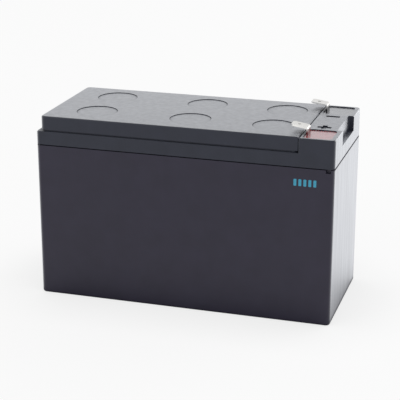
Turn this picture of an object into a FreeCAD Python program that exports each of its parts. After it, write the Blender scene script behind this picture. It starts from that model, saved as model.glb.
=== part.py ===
import FreeCAD, Part
import math
import os

from FreeCAD import Vector

# A 12 V sealed lead-acid block, the replaceable cartridge of a small uninterruptible
# power supply. Millimetres, +Z up. The origin is the middle of the foot. +X points to
# the end that carries both terminals, and the positive one stands on the -Y side.
# Six cells lie in two rows of three. The current enters the front row at the terminal
# end, crosses to the rear row at the far end and comes back to the negative terminal.

os.makedirs("parts", exist_ok=True)

# ---------------------------------------------------------------- driving dimensions

# Block as a whole
BLOCK_LENGTH = 151.0
BLOCK_WIDTH = 65.0
BLOCK_HEIGHT = 94.0          # foot to the top of the vent cover
CORNER_RADIUS = 2.2          # upright corners of the case and the lid
FOOT_ROUND = 1.2             # round between the walls and the foot
LEAST_ROUND = 0.4            # inner corners never get sharper than this

# Case walls
CASE_WALL = 2.8
CASE_FLOOR = 2.6
PARTITION = 1.5              # walls between the cells
CELL_CORNER = 1.5            # upright corners inside a cell
CELL_COLUMNS = 3
LID_SEAM_DROP = 14.9         # seam between case and lid, below the top
SEAM_GAP = 0.5               # shadow gap that shows at that seam
RIM_HEIGHT = 5.0             # neck of the case inside the lid's skirt
RIM_CLEARANCE = 0.1
PRY_NOTCH_LENGTH = 2.4       # small notch in the case shoulder near the terminal end
PRY_NOTCH_HEIGHT = 1.5
PRY_NOTCH_INSET = 1.6        # from the end face

# Lid
LID_SKIRT = 1.3
LID_DECK = 2.2               # plate over the cells
LID_EDGE_CHAMFER = 0.5
LID_TAB = 1.2                # tabs under the lid that drop inside the walls of each cell
LID_TAB_LENGTH = 14.0
LID_TAB_DEPTH = 2.5
LID_TAB_CLEARANCE = 0.25

# Terminal block, the raised end of the lid
TOWER_LENGTH = 17.5
TOWER_DROP = 0.3             # its top lies below the top of the vent cover
TOWER_EDGE_ROUND = 0.7
TOWER_ROOF = 2.0             # wall left above the moulding pockets
TOWER_POCKET_WALL = 2.0
JOINT_ROUND = 0.5            # upright corners where the tower meets the vent cover
WELL_LENGTH = 13.9           # pocket that holds one terminal and its resin
WELL_WIDTH = 15.8
WELL_END_RIM = 2.2           # rim towards the end face
WELL_SIDE_RIM = 1.7          # rim towards the long side
WELL_CORNER = 2.2
WELL_FLOOR = 2.9             # plastic left under the well, measured from the cells
END_NOTCH_WIDTH = 28.4       # notch in the end face between the two wells
END_NOTCH_DEPTH = 2.8
END_NOTCH_CORNER = 0.6
SIGN_SPAN = 6.8              # plus and minus sunk in the top of the tower
SIGN_STROKE = 2.4
SIGN_DEPTH = 0.8
SIGN_INSET = 9.8             # middle of a sign from the end face
SIGN_WELL_GAP = 4.6          # middle of a sign from its well

# Vent cover
COVER_PLATE = 2.0
COVER_SKIRT = 1.8
COVER_FAR_INSET = 2.4        # ledge of the lid that shows at the far end
COVER_SIDE_INSET = 0.6       # ledge along the two long sides
COVER_JOINT = 0.15           # gap to the terminal block
COVER_CORNER = 2.4
COVER_EDGE_ROUND = 0.8
COVER_SEAM_HEIGHT = 0.9      # shadow gap under the skirt
COVER_SEAM_DEPTH = 0.8

# Vents
VENT_DISC = 20.6             # shallow round recess in the cover over each valve
VENT_DISC_DEPTH = 0.3
VENT_FAR_SHIFT = -0.4        # far and middle vents, from the middle of their cells
VENT_NEAR_SHIFT = -7.4       # the vents beside the terminals stand further back
VENT_INWARD_SHIFT = 0.5      # vents, from the middle of their cells towards the other row
STOP_SPAN = 9.0              # crossed ribs under the cover that keep each valve on
STOP_WIDTH = 1.2
CHIMNEY_DIAMETER = 9.0
CHIMNEY_BORE = 5.5
CHIMNEY_HEIGHT = 2.8
VALVE_WALL = 1.2
VALVE_ROOF = 1.2
VALVE_FIT = 0.05             # all round between valve and chimney
VALVE_FOOT_GAP = 0.5         # skirt of the valve above the lid
VALVE_LIFT = 0.3             # room to lift before it meets its stop

# Terminals: 6.35 x 0.8 blade, bent back over the vent cover
TERMINAL_SIDE_INSET = 10.1   # middle of the blade from the long side
BLADE_WIDTH = 6.35
BLADE_THICKNESS = 0.8
BLADE_HOLE = 1.65
BLADE_HOLE_INSET = 3.6       # from the tip
BLADE_CORNER = 0.9           # chamfer at the tip
BLADE_BEND = 0.6             # inner radius of the bends
BLADE_RISE = 3.1             # top of the bend above the vent cover
BLADE_REACH = 8.3            # from the leg to the tip
BLADE_SLOPE = 8.5            # degrees, tip above the bend
LEG_INSET = 14.6             # outer face of the leg from the end face
PAD_HEIGHT = 1.6             # foot pad above the floor of the well
PAD_OVERHANG = 3.2           # pad beyond the middle of the post
RESIN_DROP = 0.5             # resin below the rim of the well

# Lead posts and their seals
POST_INSET = 9.4             # middle of the post from the end face
POST_DIAMETER = 7.0
POST_HOLE_CLEARANCE = 0.3    # all round, where the post passes through the lid
STUB_DIAMETER = 4.0
STUB_FIT = 0.05
STUB_HEIGHT = 0.9            # stub above the pad, headed over
GROMMET_WIDTH = 2.0
GROMMET_HEIGHT = 1.6
GROMMET_FIT = 0.05

# Plates and separators
POSITIVE_COUNT = 4          # the negative plates are one more, at both ends
POSITIVE_THICKNESS = 2.7
NEGATIVE_THICKNESS = 1.9
PLATE_END_GAP = 1.5          # plate edge to the cell wall
STACK_CLEARANCE = 0.1        # stack to the cell wall
HEAD_SPACE = 16.0            # top of the plates below the neck of the case
SEPARATOR_OVERHANG = 1.5     # separator above the plates
SEPARATOR_END_GAP = 0.25     # fold to the cell wall
FOLD_GAP = 0.25              # plate edge to the fold that wraps it
LUG_WIDTH = 8.0
LUG_HEIGHT = 4.0
LUG_OFFSET = 15.5            # middle of the lugs from the middle of the cell
STRAP_THICKNESS = 3.5
STRAP_WIDTH = 11.0
WELD_PLATE = 2.2             # upright plate cast on a strap against the cell wall
WELD_PLATE_WIDTH = 10.0
WELD_PLATE_RISE = 4.5        # above the strap
WELD_DIAMETER = 6.0          # lead squeezed through the hole in the cell wall

# ---------------------------------------------------------------- derived levels

HALF_LENGTH = BLOCK_LENGTH / 2
HALF_WIDTH = BLOCK_WIDTH / 2
SHOULDER_Z = BLOCK_HEIGHT - LID_SEAM_DROP
NECK_TOP = SHOULDER_Z + RIM_HEIGHT
DECK_Z = NECK_TOP + LID_DECK
TOWER_TOP = BLOCK_HEIGHT - TOWER_DROP
TOWER_X = HALF_LENGTH - TOWER_LENGTH
WELL_FLOOR_Z = NECK_TOP + WELL_FLOOR
RESIN_TOP = TOWER_TOP - RESIN_DROP
COVER_UNDERSIDE = BLOCK_HEIGHT - COVER_PLATE
VALVE_TOP = DECK_Z + CHIMNEY_HEIGHT + VALVE_ROOF
NECK_INSET = LID_SKIRT + RIM_CLEARANCE

CELL_LENGTH = (BLOCK_LENGTH - 2 * CASE_WALL - (CELL_COLUMNS - 1) * PARTITION) / CELL_COLUMNS
CELL_WIDTH = (BLOCK_WIDTH - 2 * CASE_WALL - PARTITION) / 2
CELL_PITCH_X = CELL_LENGTH + PARTITION
CELL_PITCH_Y = CELL_WIDTH + PARTITION

PLATE_TOP = NECK_TOP - HEAD_SPACE
STRAP_Z = PLATE_TOP + LUG_HEIGHT
STRAP_TOP = STRAP_Z + STRAP_THICKNESS
WELD_Z = (STRAP_Z + STRAP_TOP + WELD_PLATE_RISE) / 2
NEGATIVE_COUNT = POSITIVE_COUNT + 1
GAPS = POSITIVE_COUNT + NEGATIVE_COUNT - 1
LEAD_THICKNESS = POSITIVE_COUNT * POSITIVE_THICKNESS + NEGATIVE_COUNT * NEGATIVE_THICKNESS
SEPARATOR = (CELL_WIDTH - 2 * STACK_CLEARANCE - LEAD_THICKNESS) / GAPS

POST_X = HALF_LENGTH - POST_INSET
TERMINAL_Y = HALF_WIDTH - TERMINAL_SIDE_INSET
LEG_X = HALF_LENGTH - LEG_INSET
PAD_Z = WELL_FLOOR_Z + PAD_HEIGHT


class Cell:
    """One of the six cells: its place, and which way its positive strap lies."""

    def __init__(self, number, column, row):
        self.number = number
        self.column = column
        self.row = row
        self.x = (1 - column) * CELL_PITCH_X
        self.y = row * CELL_PITCH_Y / 2
        self.positive_side = -row


# Counted along the current: front row from the terminal end, then back along the rear.
CELLS = []
for place in range(CELL_COLUMNS):
    CELLS.append(Cell(place + 1, place, -1))
for place in range(CELL_COLUMNS):
    CELLS.append(Cell(CELL_COLUMNS + place + 1, CELL_COLUMNS - 1 - place, 1))


# ---------------------------------------------------------------- shape helpers

def box(x0, x1, y0, y1, z0, z1):
    return Part.makeBox(x1 - x0, y1 - y0, z1 - z0, Vector(x0, y0, z0))


def cylinder(diameter, x, y, z0, z1):
    return Part.makeCylinder(diameter / 2, z1 - z0, Vector(x, y, z0))


def rounded_wire(x0, x1, y0, y1, z, radius):
    """A rectangle with rounded corners, flat at height z."""
    lines = []
    arcs = []
    corners = [(x1, y0, -90), (x1, y1, 0), (x0, y1, 90), (x0, y0, 180)]
    ends = []
    for x, y, start in corners:
        cx = x - math.copysign(radius, x - (x0 + x1) / 2)
        cy = y - math.copysign(radius, y - (y0 + y1) / 2)
        points = []
        for turn in (0, 45, 90):
            angle = math.radians(start + turn)
            points.append(Vector(cx + radius * math.cos(angle), cy + radius * math.sin(angle), z))
        arcs.append(Part.Arc(*points).toShape())
        ends.append((points[0], points[2]))
    for corner in range(4):
        lines.append(Part.makeLine(ends[corner][1], ends[(corner + 1) % 4][0]))
    edges = []
    for arc, line in zip(arcs, lines):
        edges.extend([arc, line])
    return Part.Wire(edges)


def rounded_prism(x0, x1, y0, y1, z0, z1, radius):
    face = Part.Face(rounded_wire(x0, x1, y0, y1, z0, radius))
    return face.extrude(Vector(0, 0, z1 - z0))


def centred_prism(length, width, z0, z1, radius, x=0.0, y=0.0):
    return rounded_prism(x - length / 2, x + length / 2, y - width / 2, y + width / 2, z0, z1, radius)


def edges_at_height(shape, z):
    """The flat edges of a shape that lie at height z."""
    found = []
    for edge in shape.Edges:
        bounds = edge.BoundBox
        if abs(bounds.ZMin - z) < 1e-6 and abs(bounds.ZMax - z) < 1e-6:
            found.append(edge)
    return found


def upright_edges(shape, x, ys):
    """The straight upright edges of a shape at one x and any of some y."""
    found = []
    for edge in shape.Edges:
        bounds = edge.BoundBox
        upright = bounds.XLength < 1e-6 and bounds.YLength < 1e-6
        if upright and abs(bounds.XMin - x) < 1e-6 and any(abs(bounds.YMin - y) < 1e-6 for y in ys):
            found.append(edge)
    return found


def fuse_all(shapes):
    fused = shapes[0].multiFuse(shapes[1:])
    return fused.removeSplitter()


def save(name, shape):
    """Write one node, after a check that each solid in it is sound."""
    if not shape.isValid():
        raise RuntimeError(name + " is not a valid shape")
    if shape.ShapeType == "Compound" and len(shape.Solids) == 1:
        shape = shape.Solids[0]
    shape.exportStep("parts/" + name + ".step")


# ---------------------------------------------------------------- case

def cell_pocket(cell):
    """The hollow of one cell, open at the neck."""
    return centred_prism(
        CELL_LENGTH, CELL_WIDTH, CASE_FLOOR, NECK_TOP + 1, CELL_CORNER, cell.x, cell.y)


def wall_weld(first, second):
    """Lead squeezed and welded through the wall between two cells, and the hole it fills."""
    if first.row == second.row:
        start = Vector((first.x + second.x) / 2 - PARTITION / 2, first.y, WELD_Z)
        return Part.makeCylinder(WELD_DIAMETER / 2, PARTITION, start, Vector(1, 0, 0))
    start = Vector(first.x - LUG_OFFSET, -PARTITION / 2, WELD_Z)
    return Part.makeCylinder(WELD_DIAMETER / 2, PARTITION, start, Vector(0, 1, 0))


def make_case():
    body = centred_prism(BLOCK_LENGTH, BLOCK_WIDTH, 0, SHOULDER_Z, CORNER_RADIUS)
    body = body.makeFillet(FOOT_ROUND, edges_at_height(body, 0))
    neck = centred_prism(
        BLOCK_LENGTH - 2 * NECK_INSET, BLOCK_WIDTH - 2 * NECK_INSET,
        SHOULDER_Z - 1, NECK_TOP, max(CORNER_RADIUS - NECK_INSET, LEAST_ROUND))
    body = fuse_all([body, neck])
    cuts = [cell_pocket(cell) for cell in CELLS]
    for first, second in zip(CELLS, CELLS[1:]):
        cuts.append(wall_weld(first, second))
    notch_end = HALF_LENGTH - PRY_NOTCH_INSET
    for side in (-1, 1):
        ys = sorted([side * (HALF_WIDTH - NECK_INSET), side * (HALF_WIDTH + 1)])
        cuts.append(box(
            notch_end - PRY_NOTCH_LENGTH, notch_end, ys[0], ys[1],
            SHOULDER_Z - PRY_NOTCH_HEIGHT, SHOULDER_Z + 1))
    return body.cut(cuts)


# ---------------------------------------------------------------- vents

def vent_places():
    """The middle of each vent, cell by cell."""
    places = []
    for cell in CELLS:
        shift = VENT_NEAR_SHIFT if cell.column == 0 else VENT_FAR_SHIFT
        places.append((cell.x + shift, cell.y - cell.row * VENT_INWARD_SHIFT))
    return places


def make_valve(x, y):
    """A rubber cap that sits on a chimney and lifts when the cell gases."""
    bore = CHIMNEY_DIAMETER + 2 * VALVE_FIT
    cap = cylinder(bore + 2 * VALVE_WALL, x, y, DECK_Z + VALVE_FOOT_GAP, VALVE_TOP)
    return cap.cut(cylinder(bore, x, y, DECK_Z, DECK_Z + CHIMNEY_HEIGHT))


def make_cover():
    x0 = COVER_FAR_INSET - HALF_LENGTH
    x1 = TOWER_X - COVER_JOINT
    half = HALF_WIDTH - COVER_SIDE_INSET
    shell = rounded_prism(x0, x1 + 2 * COVER_CORNER, -half, half, DECK_Z, BLOCK_HEIGHT, COVER_CORNER)
    shell = shell.cut(box(x1, HALF_LENGTH, -HALF_WIDTH, HALF_WIDTH, DECK_Z - 1, BLOCK_HEIGHT + 1))
    shell = shell.makeFillet(JOINT_ROUND, upright_edges(shell, x1, (-half, half)))
    top_edges = edges_at_height(shell, BLOCK_HEIGHT)
    outline = [edge for edge in top_edges if edge.BoundBox.XMin < x1 - JOINT_ROUND]
    shell = shell.makeFillet(COVER_EDGE_ROUND, outline)
    inner = COVER_SKIRT
    cavity = rounded_prism(
        x0 + inner, x1 - inner, inner - half, half - inner,
        DECK_Z - 1, COVER_UNDERSIDE, max(COVER_CORNER - inner, LEAST_ROUND))
    step = COVER_SEAM_DEPTH
    seam_top = DECK_Z + COVER_SEAM_HEIGHT
    seam = rounded_prism(x0 - 1, x1 + 1, -half - 1, half + 1, DECK_Z - 1, seam_top, COVER_CORNER + 1)
    seam = seam.cut(rounded_prism(
        x0 + step, x1 - step, step - half, half - step, DECK_Z - 1, seam_top, COVER_CORNER - step))
    shell = shell.cut([cavity, seam])
    stops = []
    recesses = []
    for x, y in vent_places():
        for span_x, span_y in ((STOP_SPAN, STOP_WIDTH), (STOP_WIDTH, STOP_SPAN)):
            stops.append(box(
                x - span_x / 2, x + span_x / 2, y - span_y / 2, y + span_y / 2,
                VALVE_TOP + VALVE_LIFT, COVER_UNDERSIDE))
        recesses.append(cylinder(VENT_DISC, x, y, BLOCK_HEIGHT - VENT_DISC_DEPTH, BLOCK_HEIGHT + 1))
    return fuse_all([shell] + stops).cut(recesses)


# ---------------------------------------------------------------- lid

def well_bounds(side):
    """The terminal well on one side: x0, x1, y0, y1."""
    x1 = HALF_LENGTH - WELL_END_RIM
    outer = HALF_WIDTH - WELL_SIDE_RIM
    ys = sorted([side * outer, side * (outer - WELL_WIDTH)])
    return x1 - WELL_LENGTH, x1, ys[0], ys[1]


def well_prism(side, z0, z1):
    x0, x1, y0, y1 = well_bounds(side)
    return rounded_prism(x0, x1, y0, y1, z0, z1, WELL_CORNER)


def make_tower():
    """The raised terminal end, solid, before its wells and pockets are cut."""
    tower = rounded_prism(
        TOWER_X - 2 * CORNER_RADIUS, HALF_LENGTH, -HALF_WIDTH, HALF_WIDTH,
        NECK_TOP, TOWER_TOP, CORNER_RADIUS)
    tower = tower.cut(box(
        TOWER_X - BLOCK_LENGTH, TOWER_X, -BLOCK_WIDTH, BLOCK_WIDTH, NECK_TOP - 1, TOWER_TOP + 1))
    joints = upright_edges(tower, TOWER_X, (-HALF_WIDTH, HALF_WIDTH))
    tower = tower.makeFillet(JOINT_ROUND, joints)
    notch = rounded_prism(
        HALF_LENGTH - END_NOTCH_DEPTH, HALF_LENGTH + END_NOTCH_DEPTH,
        -END_NOTCH_WIDTH / 2, END_NOTCH_WIDTH / 2, DECK_Z, TOWER_TOP + 1, END_NOTCH_CORNER)
    tower = tower.cut(notch)
    return tower.makeFillet(TOWER_EDGE_ROUND, outline_edges(tower))


def outline_edges(tower):
    """The top edges of the tower on its two long sides and its end face."""
    found = []
    for edge in edges_at_height(tower, TOWER_TOP):
        bounds = edge.BoundBox
        on_side = abs(bounds.YMin) > HALF_WIDTH - CORNER_RADIUS - 1e-6 and (
            abs(bounds.YMax) > HALF_WIDTH - CORNER_RADIUS - 1e-6 and bounds.YLength < BLOCK_WIDTH / 2)
        on_end = bounds.XMin > HALF_LENGTH - 1e-6
        if on_side and bounds.XLength + bounds.YLength > 2 * JOINT_ROUND + 1e-6 or on_end:
            found.append(edge)
    return found


def make_lid():
    skirt = centred_prism(
        BLOCK_LENGTH, BLOCK_WIDTH, SHOULDER_Z + SEAM_GAP, DECK_Z, CORNER_RADIUS)
    skirt = skirt.makeChamfer(LID_EDGE_CHAMFER, edges_at_height(skirt, DECK_Z))
    inside = centred_prism(
        BLOCK_LENGTH - 2 * LID_SKIRT, BLOCK_WIDTH - 2 * LID_SKIRT,
        SHOULDER_Z, NECK_TOP, max(CORNER_RADIUS - LID_SKIRT, LEAST_ROUND))
    parts = [skirt.cut(inside), make_tower()]
    for x, y in vent_places():
        parts.append(cylinder(CHIMNEY_DIAMETER, x, y, NECK_TOP, DECK_Z + CHIMNEY_HEIGHT))
    for cell in CELLS:
        parts.extend(locating_tabs(cell))
    lid = fuse_all(parts)
    cuts = []
    for x, y in vent_places():
        cuts.append(cylinder(CHIMNEY_BORE, x, y, NECK_TOP - 1, DECK_Z + CHIMNEY_HEIGHT + 1))
    for side in (-1, 1):
        cuts.append(well_prism(side, WELL_FLOOR_Z, TOWER_TOP + 1))
        post_y = side * TERMINAL_Y
        cuts.append(cylinder(
            POST_DIAMETER + 2 * POST_HOLE_CLEARANCE, POST_X, post_y, NECK_TOP - 1, WELL_FLOOR_Z + 1))
        cuts.append(cylinder(
            grommet_outer() + 2 * GROMMET_FIT, POST_X, post_y,
            WELL_FLOOR_Z - GROMMET_HEIGHT, WELL_FLOOR_Z + 1))
        cuts.append(moulding_pocket(side))
        cuts.extend(polarity_sign(side))
    return lid.cut(cuts)


def polarity_sign(side):
    """The strokes of the sign beside one well: a plus at the front, a minus at the rear."""
    well_edge = min(abs(y) for y in well_bounds(side)[2:])
    x = HALF_LENGTH - SIGN_INSET
    y = side * (well_edge - SIGN_WELL_GAP)
    spans = [(SIGN_SPAN, SIGN_STROKE)]
    if side < 0:
        spans.append((SIGN_STROKE, SIGN_SPAN))
    strokes = []
    for span_x, span_y in spans:
        strokes.append(box(
            x - span_x / 2, x + span_x / 2, y - span_y / 2, y + span_y / 2,
            TOWER_TOP - SIGN_DEPTH, TOWER_TOP + 1))
    return strokes


def locating_tabs(cell):
    """Four tabs under the lid, one inside each wall of a cell."""
    half = LID_TAB_LENGTH / 2
    z0 = NECK_TOP - LID_TAB_DEPTH
    tabs = []
    for side in (-1, 1):
        wall_x = cell.x + side * (CELL_LENGTH / 2 - LID_TAB_CLEARANCE)
        wall_y = cell.y + side * (CELL_WIDTH / 2 - LID_TAB_CLEARANCE)
        xs = sorted([wall_x, wall_x - side * LID_TAB])
        ys = sorted([wall_y, wall_y - side * LID_TAB])
        tabs.append(box(xs[0], xs[1], cell.y - half, cell.y + half, z0, NECK_TOP))
        tabs.append(box(cell.x - half, cell.x + half, ys[0], ys[1], z0, NECK_TOP))
    return tabs


def moulding_pocket(side):
    """Hollow under the tower between a well and the middle, so that the wall stays even."""
    x0, x1, y0, y1 = well_bounds(side)
    well_edge = min(abs(y0), abs(y1))
    tab_edge = PARTITION / 2 + LID_TAB_CLEARANCE + LID_TAB
    ys = sorted([side * tab_edge, side * (well_edge - TOWER_POCKET_WALL)])
    return rounded_prism(
        TOWER_X + TOWER_POCKET_WALL, HALF_LENGTH - END_NOTCH_DEPTH - TOWER_POCKET_WALL,
        ys[0], ys[1], NECK_TOP - 1, TOWER_TOP - TOWER_ROOF, WELL_CORNER)


# ---------------------------------------------------------------- terminals

def grommet_outer():
    return POST_DIAMETER + 2 * GROMMET_FIT + 2 * GROMMET_WIDTH


def make_grommet(side):
    """Square-section rubber ring round a lead post, in the floor of the well."""
    y = side * TERMINAL_Y
    z0 = WELL_FLOOR_Z - GROMMET_HEIGHT
    ring = cylinder(grommet_outer(), POST_X, y, z0, WELL_FLOOR_Z)
    return ring.cut(cylinder(POST_DIAMETER + 2 * GROMMET_FIT, POST_X, y, z0, WELL_FLOOR_Z))


def strip_outline():
    """Outline of the bent blade, seen along Y: foot pad, leg and sloping blade."""
    t = BLADE_THICKNESS
    slope = math.radians(BLADE_SLOPE)
    along = Vector(-math.cos(slope), 0, math.sin(slope))
    across = Vector(math.sin(slope), 0, math.cos(slope))
    bend_top = BLOCK_HEIGHT + BLADE_RISE
    outer_top = Vector(LEG_X, 0, bend_top)
    inner_x = LEG_X - t
    # the under face of the blade is one thickness below its top face
    drop = t / math.cos(slope) - t * math.tan(slope)
    inner_top = Vector(inner_x, 0, bend_top - drop)
    tip_top = outer_top + along * (BLADE_REACH / math.cos(slope))
    tip_under = tip_top - across * t
    pad_end = POST_X + PAD_OVERHANG
    return [
        Vector(pad_end, 0, PAD_Z),
        Vector(pad_end, 0, PAD_Z + t),
        Vector(LEG_X, 0, PAD_Z + t),
        outer_top,
        tip_top,
        tip_under,
        inner_top,
        Vector(inner_x, 0, PAD_Z),
    ]


def bend_edges(strip, point):
    """The edge of the strip that runs along Y through one corner of its outline."""
    found = []
    for edge in strip.Edges:
        bounds = edge.BoundBox
        straight = bounds.XLength < 1e-6 and bounds.ZLength < 1e-6
        if straight and abs(bounds.XMin - point.x) < 1e-4 and abs(bounds.ZMin - point.z) < 1e-4:
            found.append(edge)
    return found


def make_terminal(side):
    outline = strip_outline()
    y0 = side * TERMINAL_Y - BLADE_WIDTH / 2
    face = Part.Face(Part.makePolygon(outline + [outline[0]]))
    face.translate(Vector(0, y0, 0))
    strip = face.extrude(Vector(0, BLADE_WIDTH, 0))
    strip = strip.makeFillet(BLADE_BEND, bend_edges(strip, outline[2]) + bend_edges(strip, outline[6]))
    strip = strip.makeFillet(
        BLADE_BEND + BLADE_THICKNESS, bend_edges(strip, outline[3]) + bend_edges(strip, outline[7]))
    strip = strip.makeChamfer(BLADE_CORNER, tip_corners(strip, outline[4]))
    hole = cylinder(
        BLADE_HOLE, LEG_X - BLADE_REACH + BLADE_HOLE_INSET, side * TERMINAL_Y,
        BLOCK_HEIGHT, BLOCK_HEIGHT + BLADE_RISE + BLADE_REACH)
    return strip.cut([hole, stub_hole(side)])


def stub_hole(side):
    """Round hole in the foot pad, where the stub of the lead post comes through."""
    return cylinder(
        STUB_DIAMETER + 2 * STUB_FIT, POST_X, side * TERMINAL_Y, PAD_Z, PAD_Z + BLADE_THICKNESS)


def tip_corners(strip, tip):
    """The two short edges at the tip of the blade, through its thickness."""
    found = []
    for edge in strip.Edges:
        bounds = edge.BoundBox
        if bounds.YLength < 1e-6 and edge.Length < BLADE_THICKNESS + 1e-4 and bounds.XMin < tip.x + 1e-4:
            found.append(edge)
    return found


def make_resin(side, terminal, post_group):
    """Potting resin that fills the well round the foot of the terminal."""
    resin = well_prism(side, WELL_FLOOR_Z, RESIN_TOP)
    return resin.cut([terminal, post_group, stub_hole(side)])


# ---------------------------------------------------------------- plates

def stack_positions(cell):
    """The near and far face of each plate along Y, negative plates first and last."""
    y = cell.y - CELL_WIDTH / 2 + STACK_CLEARANCE
    positions = []
    for index in range(POSITIVE_COUNT + NEGATIVE_COUNT):
        thickness = NEGATIVE_THICKNESS if index % 2 == 0 else POSITIVE_THICKNESS
        positions.append((y, y + thickness))
        y = y + thickness + SEPARATOR
    return positions


def plate_group(cell, positive):
    """Pasted plates of one polarity, hung from the lead strap that joins their lugs."""
    half = CELL_LENGTH / 2 - PLATE_END_GAP
    side = cell.positive_side if positive else -cell.positive_side
    lug_x = cell.x + side * LUG_OFFSET
    faces = stack_positions(cell)[1 if positive else 0::2]
    shapes = []
    for y0, y1 in faces:
        shapes.append(box(cell.x - half, cell.x + half, y0, y1, CASE_FLOOR, PLATE_TOP))
        shapes.append(box(
            lug_x - LUG_WIDTH / 2, lug_x + LUG_WIDTH / 2, y0, y1, PLATE_TOP, STRAP_TOP))
    strap = [lug_x - STRAP_WIDTH / 2, lug_x + STRAP_WIDTH / 2, faces[0][0], faces[-1][1]]
    shapes.append(box(*strap, STRAP_Z, STRAP_TOP))
    shapes.extend(strap_end(cell, positive, side, lug_x, strap))
    return fuse_all(shapes)


def strap_end(cell, positive, side, lug_x, strap):
    """What a strap ends in: a terminal post, or an upright plate against a cell wall."""
    first = cell.number == 1 and positive
    last = cell.number == len(CELLS) and not positive
    if first or last:
        return terminal_post(cell, lug_x)
    crossing = cell.column == CELL_COLUMNS - 1 and (
        (cell.row < 0 and not positive) or (cell.row > 0 and positive))
    top = STRAP_TOP + WELD_PLATE_RISE
    if crossing:
        wall = cell.row * PARTITION / 2
        ys = sorted([wall, wall + cell.row * WELD_PLATE])
        reach = sorted([wall, strap[2] if cell.row > 0 else strap[3]])
        return [
            box(lug_x - WELD_PLATE_WIDTH / 2, lug_x + WELD_PLATE_WIDTH / 2, ys[0], ys[1], STRAP_Z, top),
            box(strap[0], strap[1], min(reach[0], ys[0]), max(reach[1], ys[1]), STRAP_Z, STRAP_TOP),
        ]
    wall = cell.x + side * CELL_LENGTH / 2
    xs = sorted([wall, wall - side * WELD_PLATE])
    reach = sorted([wall, lug_x])
    half = WELD_PLATE_WIDTH / 2
    return [
        box(xs[0], xs[1], cell.y - half, cell.y + half, STRAP_Z, top),
        box(reach[0], reach[1], cell.y - half, cell.y + half, STRAP_Z, STRAP_TOP),
    ]


def terminal_post(cell, lug_x):
    """Lead post from the strap up through the lid, with a stub that takes the terminal."""
    y = cell.row * TERMINAL_Y
    foot = sorted([lug_x - STRAP_WIDTH / 2, POST_X + POST_DIAMETER / 2])
    return [
        box(foot[0], foot[1], y - POST_DIAMETER / 2, y + POST_DIAMETER / 2, STRAP_Z, STRAP_TOP),
        cylinder(POST_DIAMETER, POST_X, y, STRAP_Z, PAD_Z),
        cylinder(STUB_DIAMETER, POST_X, y, STRAP_Z, PAD_Z + BLADE_THICKNESS + STUB_HEIGHT),
    ]


def make_separator(cell):
    """Glass mat folded to and fro between the plates of one cell."""
    faces = stack_positions(cell)
    reach = CELL_LENGTH / 2 - SEPARATOR_END_GAP
    plate_end = CELL_LENGTH / 2 - PLATE_END_GAP + FOLD_GAP
    top = PLATE_TOP + SEPARATOR_OVERHANG
    shapes = []
    for gap in range(GAPS):
        y0 = faces[gap][1]
        y1 = faces[gap + 1][0]
        shapes.append(box(cell.x - plate_end, cell.x + plate_end, y0, y1, CASE_FLOOR, top))
        if gap < GAPS - 1:
            side = 1 if gap % 2 == 0 else -1
            xs = sorted([cell.x + side * plate_end, cell.x + side * reach])
            shapes.append(box(xs[0], xs[1], y0, faces[gap + 2][0], CASE_FLOOR, top))
    return fuse_all(shapes)


# ---------------------------------------------------------------- write every node

save("case", make_case())
save("lid", make_lid())
save("vent_cover", make_cover())

for cell, (vent_x, vent_y) in zip(CELLS, vent_places()):
    save("vent_valve_%d" % cell.number, make_valve(vent_x, vent_y))

plates = {}
for cell in CELLS:
    plates[cell.number, "positive"] = plate_group(cell, True)
    plates[cell.number, "negative"] = plate_group(cell, False)
    save("positive_plates_%d" % cell.number, plates[cell.number, "positive"])
    save("negative_plates_%d" % cell.number, plates[cell.number, "negative"])
    save("separator_%d" % cell.number, make_separator(cell))

for first, second in zip(CELLS, CELLS[1:]):
    save("cell_link_%d" % first.number, wall_weld(first, second))

for name, side, cell in (("positive", -1, CELLS[0]), ("negative", 1, CELLS[-1])):
    terminal = make_terminal(side)
    save("terminal_" + name, terminal)
    save("post_grommet_" + name, make_grommet(side))
    save("terminal_resin_" + name, make_resin(side, terminal, plates[cell.number, name]))
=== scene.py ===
import math

import bmesh
import bpy
from mathutils import Matrix, Vector


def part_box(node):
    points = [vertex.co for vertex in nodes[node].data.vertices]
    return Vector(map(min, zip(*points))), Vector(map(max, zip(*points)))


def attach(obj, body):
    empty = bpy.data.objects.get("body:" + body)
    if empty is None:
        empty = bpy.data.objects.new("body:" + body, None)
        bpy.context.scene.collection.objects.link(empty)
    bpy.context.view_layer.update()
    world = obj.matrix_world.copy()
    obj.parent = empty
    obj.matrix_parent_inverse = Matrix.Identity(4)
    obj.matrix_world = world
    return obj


# Looks of a sealed lead-acid block with moulded case, glued lid and blade terminals. Every
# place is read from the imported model, in metres, +Z up, with both terminals at the +X end.

bl_info = {
    "name": "Sealed battery block",
    "version": (1, 0, 0),
    "blender": (4, 5, 0),
    "location": "View3D > Sidebar > Battery",
    "description": "Finishes, side mark and studio for a sealed lead-acid battery block",
    "category": "Object",
}

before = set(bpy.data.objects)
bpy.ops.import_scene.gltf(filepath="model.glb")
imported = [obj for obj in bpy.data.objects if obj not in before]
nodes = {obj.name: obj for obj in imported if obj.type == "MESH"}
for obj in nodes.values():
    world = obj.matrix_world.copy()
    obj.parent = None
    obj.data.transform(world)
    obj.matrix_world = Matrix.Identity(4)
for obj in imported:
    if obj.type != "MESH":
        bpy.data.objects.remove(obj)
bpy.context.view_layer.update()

MM = 0.001
CELLS = range(1, 7)

# How far the painted shade reaches from the walls round a moulded skin, in grooves, wells, joints
# and the notch.
PAINTED_SHADE_REACH = 3.4 * MM

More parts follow.
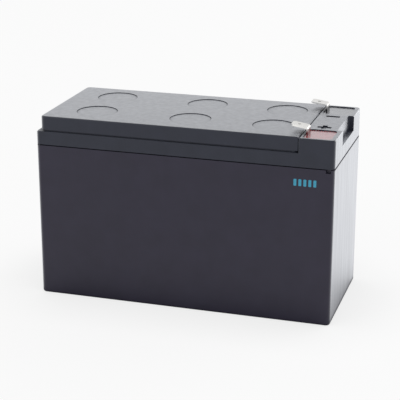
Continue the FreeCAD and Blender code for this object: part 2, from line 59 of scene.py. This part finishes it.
# The stage, in metres and degrees. A light strength of 1 is white.
FLOOR_REACH = 8.0
FLOOR_OWN_LIGHT = 0.85
FLOOR_SHADE_REACH = 40 * MM
FLOOR_SHADE_SEEN = 0.18
FLOOR_SHADE_CAST = 1.65
ROOM_LIGHT = 0.85
LAMP_AIM = (0, 0, 0.05)
CAMERA_AZIMUTH = 17.0
CAMERA_ELEVATION = 18.7
CAMERA_DISTANCE = 0.667
CAMERA_LENS = 117.0


# ---------------------------------------------------------------- settings

class BlockFinish(bpy.types.PropertyGroup):
    """Colours and surface sizes of the plastic, metal and resin."""

    case_colour: bpy.props.StringProperty(
        name="Case colour", description="sRGB hex of the case plastic", default="2B2838")
    lid_colour: bpy.props.StringProperty(
        name="Lid colour", description="sRGB hex of the lid and vent cover plastic",
        default="2A2D39")
    plus_resin_colour: bpy.props.StringProperty(
        name="Positive resin", description="sRGB hex of the red potting resin", default="A01D26")
    minus_resin_colour: bpy.props.StringProperty(
        name="Negative resin", description="sRGB hex of the black potting resin",
        default="26262A")
    print_colour: bpy.props.StringProperty(
        name="Print colour", description="sRGB hex of the printed side mark", default="3FA0BE")
    grain: bpy.props.FloatProperty(
        name="Grain", description="Size of the fine grain that the mould leaves",
        default=0.7 * MM, unit="LENGTH", precision=5)
    streak: bpy.props.FloatProperty(
        name="Streak", description="Width of the faint streaks along the draw of the mould",
        default=2.5 * MM, unit="LENGTH", precision=5)
    bond_width: bpy.props.FloatProperty(
        name="Bond width", description="Width of the dull line that the lid's adhesive leaves",
        default=1.1 * MM, unit="LENGTH", precision=5)
    # On the terminal legs, the heights above the resin where the painted reflection of the shaded
    # resin thins out and ends.
    painted_reflection_start: bpy.props.FloatProperty(
        name="Film start", description="Height above the resin where its film on the leg thins out",
        default=1.5 * MM, unit="LENGTH", precision=5)
    painted_reflection_end: bpy.props.FloatProperty(
        name="Film end", description="Height above the resin where the leg is clean",
        default=3.4 * MM, unit="LENGTH", precision=5)


class PrintedMark(bpy.types.PropertyGroup):
    """Sizes and place of the row of bars printed on the long side."""

    count: bpy.props.IntProperty(
        name="Bars", description="Number of bars in the row", default=5)
    length: bpy.props.FloatProperty(
        name="Length", description="Length of the whole row",
        default=11.0 * MM, unit="LENGTH", precision=5)
    height: bpy.props.FloatProperty(
        name="Height", description="Height of the bars",
        default=3.4 * MM, unit="LENGTH", precision=5)
    gap: bpy.props.FloatProperty(
        name="Gap", description="Gap between two bars",
        default=1.0 * MM, unit="LENGTH", precision=5)
    corner: bpy.props.FloatProperty(
        name="Corner", description="Radius of the corners of each bar",
        default=0.3 * MM, unit="LENGTH", precision=5)
    end_inset: bpy.props.FloatProperty(
        name="End inset", description="From the middle of the row to the terminal end",
        default=13.9 * MM, unit="LENGTH", precision=5)
    seam_drop: bpy.props.FloatProperty(
        name="Seam drop", description="From the lid seam down to the middle of the row",
        default=7.6 * MM, unit="LENGTH", precision=5)
    film: bpy.props.FloatProperty(
        name="Film", description="Thickness of the ink, more than real so that it clears the wall",
        default=0.05 * MM, unit="LENGTH", precision=6)


# ---------------------------------------------------------------- material helpers

def linear(hex_colour):
    """An sRGB hex value as the linear colour that shaders take."""
    channels = []
    for start in (0, 2, 4):
        value = int(hex_colour[start:start + 2], 16) / 255
        channels.append(value / 12.92 if value <= 0.04045 else ((value + 0.055) / 1.055) ** 2.4)
    return (*channels, 1.0)


def add_node(tree, kind, values=None, **settings):
    """A shader node with its settings, and a value or a link on each socket that is named."""
    node = tree.nodes.new(kind)
    for name, value in settings.items():
        setattr(node, name, value)
    for socket, value in (values or {}).items():
        if isinstance(value, bpy.types.NodeSocket):
            tree.links.new(value, node.inputs[socket])
        else:
            node.inputs[socket].default_value = value
    return node


def start_material(name):
    """An empty node material and its tree."""
    material = bpy.data.materials.new(name)
    material.use_nodes = True
    tree = material.node_tree
    tree.nodes.clear()
    return material, tree


def close_material(tree, surface):
    """Send the last shader of a tree to the surface of its material."""
    add_node(tree, "ShaderNodeOutputMaterial", {"Surface": surface.outputs[0]})


def mottle(tree, place, size, low, high, detail=2.0):
    """A number that wanders from low to high in lumps of a real size, in metres."""
    pattern = add_node(tree, "ShaderNodeTexNoise", {
        "Vector": place, "Scale": 1 / size, "Detail": detail})
    # The noise itself seldom leaves 0.3 to 0.7.
    return add_node(tree, "ShaderNodeMapRange", {
        "Value": pattern.outputs["Fac"], "From Min": 0.3, "From Max": 0.7,
        "To Min": low, "To Max": high}).outputs["Result"]


def toned(tree, hex_colour, level):
    """A colour made lighter and darker by a pattern."""
    return add_node(tree, "ShaderNodeVectorMath", {
        0: linear(hex_colour)[:3], "Scale": level}, operation="SCALE").outputs[0]


def grazing_gloss(tree, body, gloss, roughness, normal):
    """A skin over a body that mirrors softly where it is seen at a shallow angle."""
    facing = add_node(tree, "ShaderNodeLayerWeight", {"Blend": 0.5, "Normal": normal})
    rise = add_node(tree, "ShaderNodeMath", {
        0: facing.outputs["Facing"], 1: 3.0}, operation="POWER")
    share = add_node(tree, "ShaderNodeMath", {0: rise.outputs[0], 1: gloss}, operation="MULTIPLY")
    mirror = add_node(tree, "ShaderNodeBsdfAnisotropic", {
        "Color": linear("F4F6FA"), "Roughness": roughness, "Normal": normal})
    return add_node(tree, "ShaderNodeMixShader", {
        0: share.outputs[0], 1: body.outputs[0], 2: mirror.outputs[0]})


def dress(name, material):
    """Give a CAD node one material."""
    node = nodes[name]
    node.data.materials.clear()
    node.data.materials.append(material)


# ---------------------------------------------------------------- materials

def gloss_after_painted_shade_and_bond(tree, place):
    """How much gloss a moulded skin keeps, from 0 to 1, as a number.

    It loses its mirror to painted shade in grooves, wells, joints and the finger notch, more
    the nearer the walls are, and it is dull along the seam, where the adhesive that bonds the
    lid has crept out.
    """
    bond_width = bpy.context.scene.block_finish.bond_width
    # Painted shade: an occlusion node takes the mirror out near walls.
    open_sky = add_node(tree, "ShaderNodeAmbientOcclusion", {"Distance": PAINTED_SHADE_REACH})
    outside_painted_shade = add_node(tree, "ShaderNodeMath", {
        0: open_sky.outputs["AO"], 1: 4.0}, operation="POWER")
    # The dull line lies mostly below the seam, on the case, and its edges are soft.
    height = add_node(tree, "ShaderNodeSeparateXYZ", {"Vector": place})
    from_line = add_node(tree, "ShaderNodeMath", {
        0: height.outputs["Z"], 1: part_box("lid")[0].z - bond_width / 4}, operation="SUBTRACT")
    distance = add_node(tree, "ShaderNodeMath", {0: from_line.outputs[0]}, operation="ABSOLUTE")
    clear = add_node(tree, "ShaderNodeMapRange", {
        "Value": distance.outputs[0], "From Min": bond_width * 0.4, "From Max": bond_width * 0.6,
        "To Min": 0.1})
    return add_node(tree, "ShaderNodeMath", {
        0: outside_painted_shade.outputs[0], 1: clear.outputs["Result"]}, operation="MULTIPLY").outputs[0]


def moulded_abs(name, colour):
    """Injection moulded ABS: near-black and satin, with a fine grain from the spark-eroded mould.

    Seen square on it is charcoal. At a shallow angle its skin mirrors a bright room softly,
    broken up by the grain and by faint streaks along the draw of the mould. The grain is drawn
    coarser than the real one, so that it shows.
    """
    finish = bpy.context.scene.block_finish
    material, tree = start_material(name)
    place = add_node(tree, "ShaderNodeTexCoord").outputs["Object"]
    # A small scale along Z draws each lump out into an upright streak.
    drawn = add_node(tree, "ShaderNodeMapping", {
        "Vector": place, "Scale": (1, 1, 0.06)}).outputs[0]
    streak = mottle(tree, drawn, finish.streak, 0.0, 1.0)
    grain = mottle(tree, place, finish.grain, 0.0, 1.0, detail=3.0)
    bump = add_node(tree, "ShaderNodeBump", {"Height": streak, "Distance": 0.01 * MM})
    bump = add_node(tree, "ShaderNodeBump", {
        "Height": grain, "Distance": 0.006 * MM, "Normal": bump.outputs[0]})
    body = add_node(tree, "ShaderNodeBsdfPrincipled", {
        "Base Color": toned(tree, colour, mottle(tree, place, 9 * MM, 0.92, 1.08)),
        "Roughness": mottle(tree, drawn, finish.streak, 0.36, 0.44),
        "IOR": 1.4,
        "Normal": bump.outputs[0],
    })
    # The mirror share is cut near walls by painted shade, and along the seam by the dull bond line.
    gloss = add_node(tree, "ShaderNodeMath", {
        0: gloss_after_painted_shade_and_bond(tree, place), 1: mottle(tree, drawn, finish.streak, 1.02, 1.28)},
        operation="MULTIPLY")
    close_material(tree, grazing_gloss(tree, body, gloss.outputs[0], 0.42, bump.outputs[0]))
    return material


def tinned_brass(pole, resin_colour):
    """Stamped brass strip with a bright tin plating: a clean silvery metal, faintly brushed.

    Where it leaves the potting, the leg is painted a dark, dull copy of the resin's colour:
    a painted reflection of the shaded resin.
    The rolling lines are drawn coarser than the real ones, so that they show.
    """
    finish = bpy.context.scene.block_finish
    material, tree = start_material("tin_plated_brass_" + pole)
    place = add_node(tree, "ShaderNodeTexCoord").outputs["Object"]
    # The strip runs along X and Z, and so do its lines.
    along = add_node(tree, "ShaderNodeMapping", {
        "Vector": place, "Scale": (0.1, 1, 0.1)}).outputs[0]
    line = mottle(tree, along, 0.5 * MM, 0.0, 1.0, detail=4.0)
    bump = add_node(tree, "ShaderNodeBump", {"Height": line, "Distance": 0.004 * MM})
    resin_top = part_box("terminal_resin_" + pole)[1].z
    height = add_node(tree, "ShaderNodeSeparateXYZ", {"Vector": place})
    # Painted reflection: low on the leg the tin gives way to a dark, non-metal copy of the resin's
    # colour.
    above_painted_reflection = add_node(tree, "ShaderNodeMapRange", {
        "Value": height.outputs["Z"], "From Min": resin_top + finish.painted_reflection_start,
        "From Max": resin_top + finish.painted_reflection_end}).outputs["Result"]
    tin = toned(tree, "F3F2EF", mottle(tree, place, 3 * MM, 0.94, 1.03))
    # The painted reflection of the shaded resin: a darkened copy of its colour.
    film = toned(tree, resin_colour, mottle(tree, place, 1 * MM, 0.25, 0.45))
    # Sockets 6 and 7 take the two colours, and output 2 gives the mixed one.
    tone = add_node(tree, "ShaderNodeMix", {0: above_painted_reflection, 6: film, 7: tin}, data_type="RGBA")
    surface = add_node(tree, "ShaderNodeBsdfPrincipled", {
        "Base Color": tone.outputs[2],
        "Metallic": above_painted_reflection,
        "Roughness": mottle(tree, along, 0.5 * MM, 0.2, 0.3),
        "Normal": bump.outputs[0],
    })
    close_material(tree, surface)
    return material


def potting_resin(name, colour):
    """Cast epoxy resin: glossy, with a slightly uneven skin between the walls of its well."""
    material, tree = start_material(name)
    place = add_node(tree, "ShaderNodeTexCoord").outputs["Object"]
    swell = mottle(tree, place, 4 * MM, 0.0, 1.0)
    bump = add_node(tree, "ShaderNodeBump", {"Height": swell, "Distance": 0.06 * MM})
    body = add_node(tree, "ShaderNodeBsdfPrincipled", {
        "Base Color": toned(tree, colour, mottle(tree, place, 4 * MM, 0.85, 1.1)),
        "Roughness": mottle(tree, place, 2 * MM, 0.14, 0.24),
        "IOR": 1.5,
        "Normal": bump.outputs[0],
    })
    close_material(tree, grazing_gloss(tree, body, 1.1, 0.3, bump.outputs[0]))
    return material


def dull_solid(name, first, second, size, roughness, depth, metallic=0.0):
    """A dull material of two tones, with lumps and pits of a real size and depth."""
    material, tree = start_material(name)
    place = add_node(tree, "ShaderNodeTexCoord").outputs["Object"]
    skin = mottle(tree, place, size, 0.0, 1.0, detail=5.0)
    tone = add_node(tree, "ShaderNodeValToRGB", {"Fac": skin})
    tone.color_ramp.elements[0].color = linear(first)
    tone.color_ramp.elements[1].color = linear(second)
    bump = add_node(tree, "ShaderNodeBump", {"Height": skin, "Distance": depth})
    surface = add_node(tree, "ShaderNodeBsdfPrincipled", {
        "Base Color": tone.outputs["Color"],
        "Metallic": metallic,
        "Roughness": mottle(tree, place, size, roughness - 0.08, roughness + 0.08),
        "Normal": bump.outputs[0],
    })
    close_material(tree, surface)
    return material


def valve_rubber():
    """Moulded synthetic rubber: dull black, slightly bloomed."""
    return dull_solid("moulded_rubber", "1A1A1B", "2B2B2C", 1.2 * MM, 0.7, 0.01 * MM)


def cast_lead():
    """Cast and welded lead: soft blue-grey metal under a mottled oxide skin."""
    return dull_solid("cast_lead", "767A80", "A3A7AD", 2.5 * MM, 0.55, 0.05 * MM, metallic=1.0)


def lead_dioxide():
    """Cured positive paste on its lead grid: chocolate brown, dry and chalky."""
    return dull_solid("lead_dioxide_paste", "3A241B", "553629", 1.0 * MM, 0.9, 0.05 * MM)


def glass_mat():
    """Absorbent glass mat: white felt of fine fibres, damp with acid."""
    return dull_solid("glass_fibre_mat", "D9D8D0", "F1F0EA", 0.6 * MM, 0.9, 0.05 * MM)


def print_ink():
    """Pad-printed ink on satin plastic: flat teal, a little thin where the grain shows through."""
    material, tree = start_material("pad_print_ink")
    place = add_node(tree, "ShaderNodeTexCoord").outputs["Object"]
    colour = bpy.context.scene.block_finish.print_colour
    surface = add_node(tree, "ShaderNodeBsdfPrincipled", {
        "Base Color": toned(tree, colour, mottle(tree, place, 0.5 * MM, 0.85, 1.05)),
        "Roughness": mottle(tree, place, 0.5 * MM, 0.4, 0.55),
    })
    close_material(tree, surface)
    return material


# ---------------------------------------------------------------- mesh helpers

def object_from(bm, name, material):
    """A new object of one material at the origin, with its place in its mesh."""
    mesh = bpy.data.meshes.new(name)
    bm.to_mesh(mesh)
    bm.free()
    mesh.materials.append(material)
    made = bpy.data.objects.new(name, mesh)
    bpy.context.scene.collection.objects.link(made)
    return made


def add_box(bm, low, high):
    """Add a box to a mesh, from its low and high corners."""
    low, high = Vector(low), Vector(high)
    centre = Matrix.Translation((low + high) / 2)
    scale = Matrix.Diagonal((*(high - low), 1.0))
    bmesh.ops.create_cube(bm, size=1.0, matrix=centre @ scale)


# ---------------------------------------------------------------- stage

def seen(tree):
    """1 where a surface is seen by the camera, in gloss or through glass, and 0 elsewhere."""
    path = add_node(tree, "ShaderNodeLightPath").outputs
    mirrored = add_node(tree, "ShaderNodeMath", {
        0: path["Is Glossy Ray"], 1: path["Is Transmission Ray"]}, operation="MAXIMUM")
    return add_node(tree, "ShaderNodeMath", {
        0: path["Is Camera Ray"], 1: mirrored.outputs[0]}, operation="MAXIMUM").outputs[0]


def matt_floor():
    """Plain pale floor that reads white and keeps the shadow: part of its light is its own.

    Its light fades near the foot of the block: a little where it is seen directly, and more
    where it lights the block or is mirrored in it.
    """
    material, tree = start_material("matt_floor")
    camera = add_node(tree, "ShaderNodeLightPath").outputs["Is Camera Ray"]
    depth = add_node(tree, "ShaderNodeMapRange", {
        "Value": camera, "To Min": FLOOR_SHADE_CAST, "To Max": FLOOR_SHADE_SEEN})
    open_sky = add_node(tree, "ShaderNodeAmbientOcclusion", {"Distance": FLOOR_SHADE_REACH})
    covered = add_node(tree, "ShaderNodeMath", {
        0: 1.0, 1: open_sky.outputs["AO"]}, operation="SUBTRACT")
    shade = add_node(tree, "ShaderNodeMath", {
        0: covered.outputs[0], 1: depth.outputs["Result"]}, operation="MULTIPLY")
    light = add_node(tree, "ShaderNodeMath", {
        0: 1.0, 1: shade.outputs[0]}, operation="SUBTRACT", use_clamp=True)
    lit = add_node(tree, "ShaderNodeBsdfDiffuse", {
        "Color": toned(tree, "F5F5F5", light.outputs[0])})
    glow = add_node(tree, "ShaderNodeEmission", {
        "Color": linear("FFFFFF"), "Strength": light.outputs[0]})
    own = add_node(tree, "ShaderNodeMath", {
        0: seen(tree), 1: FLOOR_OWN_LIGHT}, operation="MULTIPLY")
    close_material(tree, add_node(tree, "ShaderNodeMixShader", {
        0: own.outputs[0], 1: lit.outputs[0], 2: glow.outputs[0]}))
    return material


def make_floor():
    """A wide plain floor under the block."""
    bm = bmesh.new()
    bmesh.ops.create_grid(bm, x_segments=1, y_segments=1, size=FLOOR_REACH)
    object_from(bm, "floor", matt_floor())


def make_world():
    """White where it is seen, directly or in gloss, and a plain soft light elsewhere."""
    world = bpy.data.worlds.new("studio")
    bpy.context.scene.world = world
    world.use_nodes = True
    tree = world.node_tree
    tree.nodes.clear()
    strength = add_node(tree, "ShaderNodeMapRange", {
        "Value": seen(tree), "To Min": ROOM_LIGHT, "To Max": 1.0})
    sky = add_node(tree, "ShaderNodeBackground", {"Strength": strength.outputs["Result"]})
    add_node(tree, "ShaderNodeOutputWorld", {"Surface": sky.outputs[0]})


def soft_lamp(name, place, width, height, radiance):
    """A softbox aimed at the block, given by the radiance of its face."""
    light = bpy.data.lights.new(name, "AREA")
    light.shape = "RECTANGLE"
    light.size = width
    light.size_y = height
    light.energy = radiance * math.pi * width * height
    lamp = bpy.data.objects.new(name, light)
    bpy.context.scene.collection.objects.link(lamp)
    lamp.location = place
    lamp.rotation_mode = "QUATERNION"
    lamp.rotation_quaternion = (Vector(place) - Vector(LAMP_AIM)).to_track_quat("Z", "Y")
    lamp.visible_camera = False


def make_lamps():
    """A large softbox off the terminal end, and a weaker one at the front left."""
    soft_lamp("right_softbox", place=(0.95, 0.75, 0.45), width=1.2, height=0.9, radiance=2.2)
    soft_lamp("front_softbox", place=(-0.9, -1.2, 0.9), width=0.9, height=0.9, radiance=1.0)


def make_camera():
    """A long lens aimed at the middle of the block, from the front right and a little above."""
    target = Vector((0, 0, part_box("vent_cover")[1].z / 2))
    azimuth, elevation = math.radians(CAMERA_AZIMUTH), math.radians(CAMERA_ELEVATION)
    back = Vector((
        math.sin(azimuth) * math.cos(elevation), -math.cos(azimuth) * math.cos(elevation),
        math.sin(elevation)))
    data = bpy.data.cameras.new("camera")
    data.lens = CAMERA_LENS
    camera = bpy.data.objects.new("camera", data)
    bpy.context.scene.collection.objects.link(camera)
    camera.location = target + back * CAMERA_DISTANCE
    camera.rotation_mode = "QUATERNION"
    camera.rotation_quaternion = (-back).to_track_quat("-Z", "Y")
    bpy.context.scene.camera = camera


# ---------------------------------------------------------------- operators

class BATTERY_OT_case(bpy.types.Operator):
    """Give the case, lid and vent cover their moulded plastic"""
    bl_idname = "battery.case"
    bl_label = "Case, lid and cover"

    def execute(self, context):
        finish = context.scene.block_finish
        dress("case", moulded_abs("moulded_abs_case", finish.case_colour))
        lid_plastic = moulded_abs("moulded_abs_lid", finish.lid_colour)
        dress("lid", lid_plastic)
        dress("vent_cover", lid_plastic)
        return {"FINISHED"}


class BATTERY_OT_terminals(bpy.types.Operator):
    """Give the blades their tin plating and the wells their potting resin"""
    bl_idname = "battery.terminals"
    bl_label = "Terminals and resin"

    def execute(self, context):
        finish = context.scene.block_finish
        for pole, colour in (
                ("positive", finish.plus_resin_colour), ("negative", finish.minus_resin_colour)):
            dress("terminal_" + pole, tinned_brass(pole, colour))
            dress("terminal_resin_" + pole, potting_resin("epoxy_resin_" + pole, colour))
        return {"FINISHED"}


class BATTERY_OT_cells(bpy.types.Operator):
    """Give the sealed inner pieces their lead, paste, glass mat and rubber"""
    bl_idname = "battery.cells"
    bl_label = "Cells and valves"

    def execute(self, context):
        lead, paste, mat, rubber = cast_lead(), lead_dioxide(), glass_mat(), valve_rubber()
        for cell in CELLS:
            dress("positive_plates_%d" % cell, paste)
            dress("negative_plates_%d" % cell, lead)
            dress("separator_%d" % cell, mat)
            dress("vent_valve_%d" % cell, rubber)
        for link in CELLS[:-1]:
            dress("cell_link_%d" % link, lead)
        for pole in ("positive", "negative"):
            dress("post_grommet_" + pole, rubber)
        return {"FINISHED"}


class BATTERY_OT_mark(bpy.types.Operator):
    """Print a row of plain teal bars on the long side, near the terminals"""
    bl_idname = "battery.mark"
    bl_label = "Side mark"

    def execute(self, context):
        mark = context.scene.block_mark
        wall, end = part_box("case")[0].y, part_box("case")[1].x
        pitch = (mark.length + mark.gap) / mark.count
        start = end - mark.end_inset - mark.length / 2
        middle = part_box("lid")[0].z - mark.seam_drop
        bm = bmesh.new()
        for index in range(mark.count):
            left = start + index * pitch
            add_box(
                bm, (left, wall - mark.film, middle - mark.height / 2),
                (left + pitch - mark.gap, wall, middle + mark.height / 2))
        corners = [
            edge for edge in bm.edges
            if abs(edge.verts[0].co.y - edge.verts[1].co.y) > mark.film / 2]
        bmesh.ops.bevel(
            bm, geom=corners, offset=mark.corner, affect="EDGES", segments=3, profile=0.5,
            material=-1)
        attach(object_from(bm, "side_mark", print_ink()), "root")
        return {"FINISHED"}


class BATTERY_OT_stage(bpy.types.Operator):
    """Make the pale floor, the soft lamps and the camera"""
    bl_idname = "battery.stage"
    bl_label = "Stage"

    def execute(self, context):
        make_floor()
        make_world()
        make_lamps()
        make_camera()
        context.scene.view_settings.view_transform = "Standard"
        return {"FINISHED"}


class BATTERY_PT_panel(bpy.types.Panel):
    """Lists the steps that dress the block"""
    bl_idname = "BATTERY_PT_panel"
    bl_label = "Battery block"
    bl_space_type = "VIEW_3D"
    bl_region_type = "UI"
    bl_category = "Battery"

    def draw(self, context):
        for operator in OPERATORS:
            self.layout.operator(operator.bl_idname)


OPERATORS = (
    BATTERY_OT_case, BATTERY_OT_terminals, BATTERY_OT_cells, BATTERY_OT_mark, BATTERY_OT_stage)
CLASSES = (BlockFinish, PrintedMark, *OPERATORS, BATTERY_PT_panel)


def register():
    for one in CLASSES:
        bpy.utils.register_class(one)
    bpy.types.Scene.block_finish = bpy.props.PointerProperty(type=BlockFinish)
    bpy.types.Scene.block_mark = bpy.props.PointerProperty(type=PrintedMark)


def unregister():
    del bpy.types.Scene.block_mark
    del bpy.types.Scene.block_finish
    for one in reversed(CLASSES):
        bpy.utils.unregister_class(one)


def main():
    """Dress the block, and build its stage."""
    register()
    bpy.ops.battery.case()
    bpy.ops.battery.terminals()
    bpy.ops.battery.cells()
    bpy.ops.battery.mark()
    bpy.ops.battery.stage()


if __name__ == "__main__":
    main()
